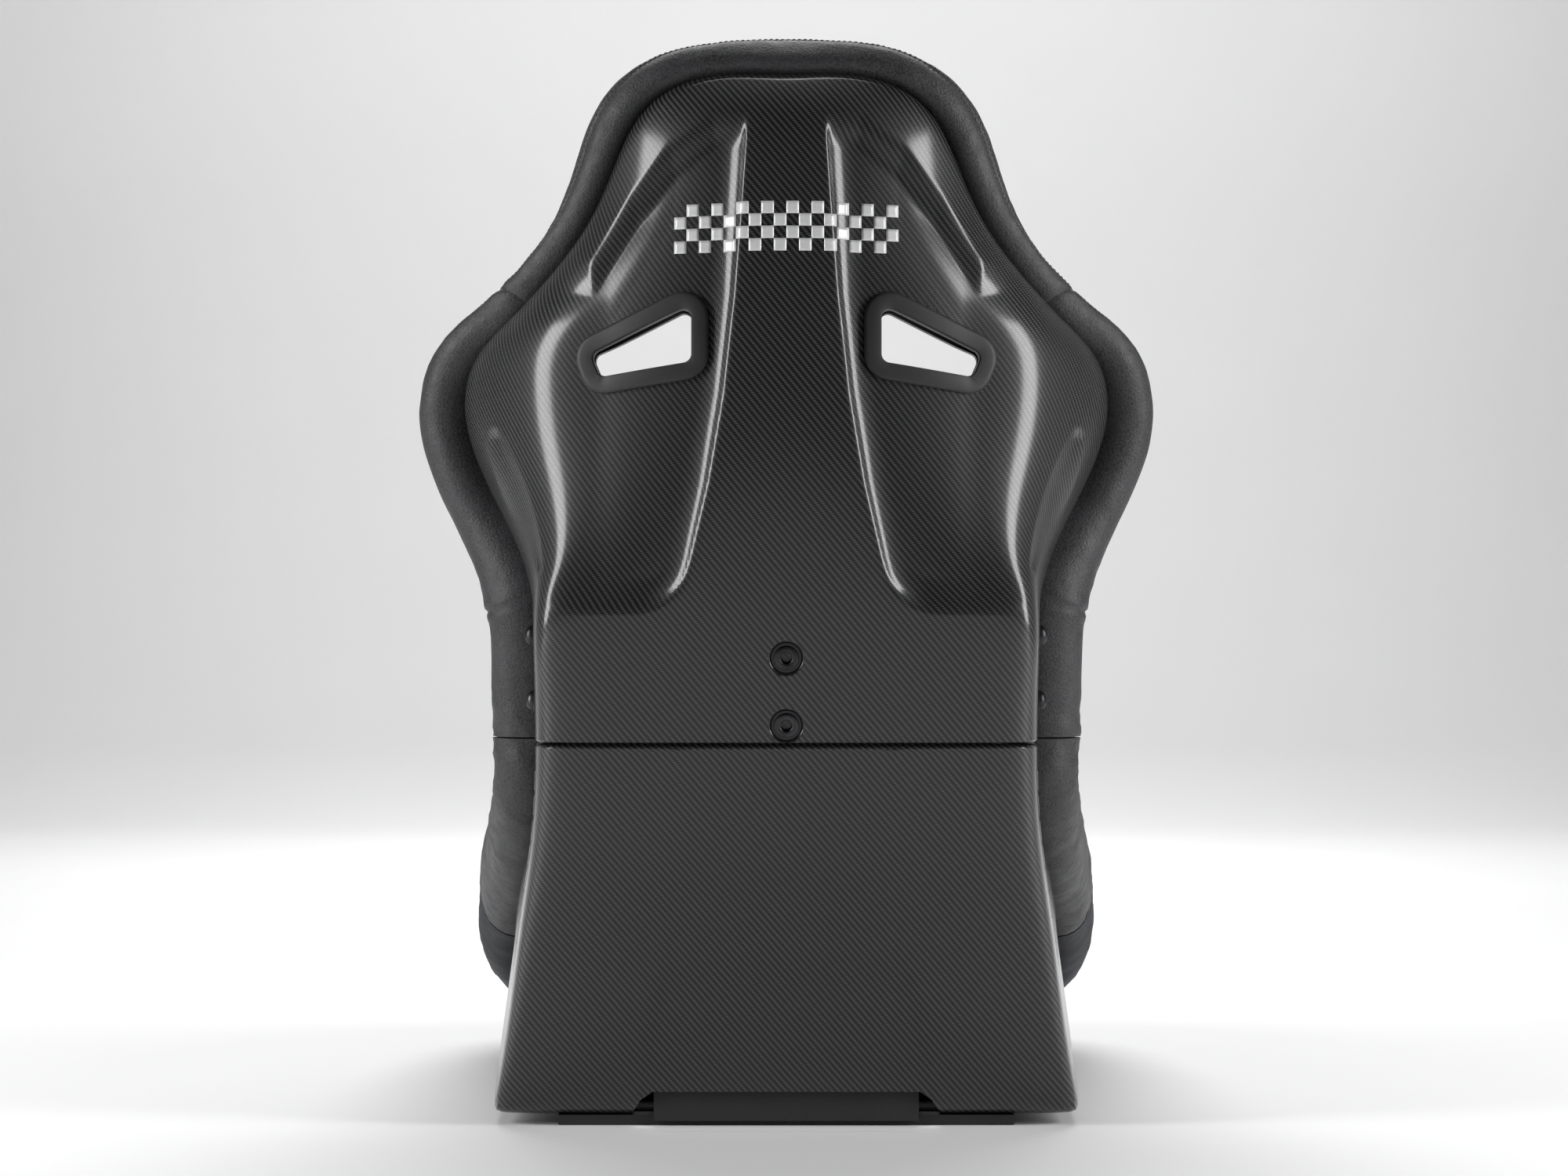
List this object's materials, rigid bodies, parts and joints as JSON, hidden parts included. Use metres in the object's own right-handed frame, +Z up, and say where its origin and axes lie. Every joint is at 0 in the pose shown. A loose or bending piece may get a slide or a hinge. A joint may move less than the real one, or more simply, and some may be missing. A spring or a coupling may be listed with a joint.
{
  "type": "racing bucket seat",
  "caption": "Motorsport bucket seat with a two-piece carbon shell, padded rims, harness slots and a height-adjustable back that slides along guides in the base.",
  "frame": {"origin": "centre of the seat's bounding box in plan, on the floor plane under the pan", "axes": "+Z up, the seat faces -Y, +X is the occupant's left"},
  "size_m": [0.6298, 0.6622, 0.896],
  "materials": {
    "carbon": "clear-coated twill weave",
    "leather": "pebble-grain artificial leather, stitched",
    "suede": "black suede-like microfibre over foam",
    "black_plastic": "matte moulded",
    "dark_steel": "dark oxide",
    "zinc_steel": "zinc plated"
  },
  "bodies": {
    "base": {"base_shell": "carbon", "front_roll": "suede", "hip_roll_left": "leather", "hip_roll_right": "leather", "seat_cushion": "suede", "thigh_cushion": "suede", "tail_pad": "suede", "hip_bolster_left": "leather", "hip_bolster_right": "leather", "guide_plate_left": "zinc_steel", "guide_plate_right": "zinc_steel", "guide_plate_centre": "zinc_steel", "under_pan": "black_plastic", "crotch_trim_top": "black_plastic", "crotch_trim_bottom": "black_plastic", "floor_insert_left_front": "zinc_steel", "floor_insert_left_rear": "zinc_steel", "floor_insert_right_front": "zinc_steel", "floor_insert_right_rear": "zinc_steel"},
    "back": {"back_shell": "carbon", "rim_cover": "leather", "head_pad": "suede", "upper_back_pad": "suede", "lumbar_pad": "suede", "side_bolster_left": "leather", "side_bolster_right": "leather", "harness_bezel_left": "black_plastic", "harness_bezel_right": "black_plastic", "harness_trim_left": "black_plastic", "harness_trim_right": "black_plastic", "bush_upper": "dark_steel", "bush_lower": "dark_steel", "bush_nut_upper": "zinc_steel", "bush_nut_lower": "zinc_steel", "side_bolt_left_upper": "dark_steel", "side_bolt_left_lower": "dark_steel", "side_bolt_right_upper": "dark_steel", "side_bolt_right_lower": "dark_steel", "side_washer_left_upper": "dark_steel", "side_washer_left_lower": "dark_steel", "side_washer_right_upper": "dark_steel", "side_washer_right_lower": "dark_steel", "side_nut_left_upper": "zinc_steel", "side_nut_left_lower": "zinc_steel", "side_nut_right_upper": "zinc_steel", "side_nut_right_lower": "zinc_steel"}
  },
  "joints": [
    {"name": "back_height", "type": "slide", "parent": "base", "child": "back", "axis": [0, 0.2079, 0.9781], "range_m": [0, 0.056]}
  ]
}
